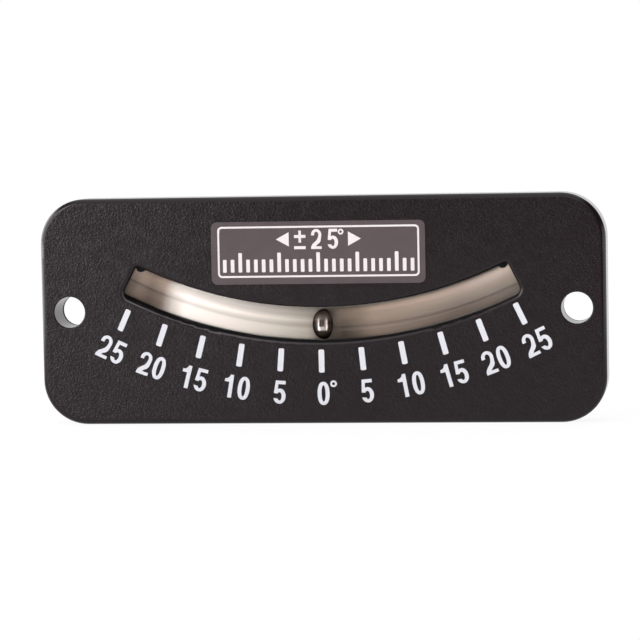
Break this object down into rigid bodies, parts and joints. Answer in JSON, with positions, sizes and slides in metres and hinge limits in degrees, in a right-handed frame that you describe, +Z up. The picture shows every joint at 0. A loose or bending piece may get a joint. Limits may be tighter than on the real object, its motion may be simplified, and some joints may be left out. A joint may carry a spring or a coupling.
{
  "type": "ball inclinometer",
  "caption": "Flat bulkhead inclinometer: a steel ball rolls in a curved liquid-filled tube behind a window, over a printed scale of degrees.",
  "frame": {"origin": "midway between the two mounting holes, on the flat back of the housing", "axes": "+X to the right and +Z up as the reader sees the scale, +Y out of the back, into the bulkhead"},
  "size_m": [0.12, 0.0097, 0.048],
  "materials": {
    "housing": "fine grained black moulding with smooth side walls",
    "cover": "smooth black moulding",
    "screws": "bright zinc plate",
    "tube_glass": "clear and polished",
    "stopper_rubber": "matt black rubber",
    "saddle_rubber": "matt black rubber",
    "ball_steel": "polished dark bearing steel",
    "fluid": "clear liquid",
    "reflector": "brushed bright strip",
    "label": "satin grey",
    "scale_print": "white ink"
  },
  "bodies": {
    "instrument": {"front_housing": "housing", "rear_cover": "cover", "cover_screws": "screws", "vial_tube": "tube_glass", "left_end_plug": "stopper_rubber", "right_end_plug": "stopper_rubber", "left_tube_saddle": "saddle_rubber", "right_tube_saddle": "saddle_rubber", "damping_fluid": "fluid", "reflector_strip": "reflector", "label_plate": "label", "scale_ticks": "scale_print"},
    "ball": {"ball": "ball_steel"}
  },
  "joints": [
    {"name": "ball_travel", "type": "hinge", "parent": "instrument", "child": "ball", "pos_m": [0, -0.00495, 0.089], "axis": [0, 1, 0], "range_deg": [-26.2, 26.2], "deforming": ["damping_fluid"]}
  ]
}
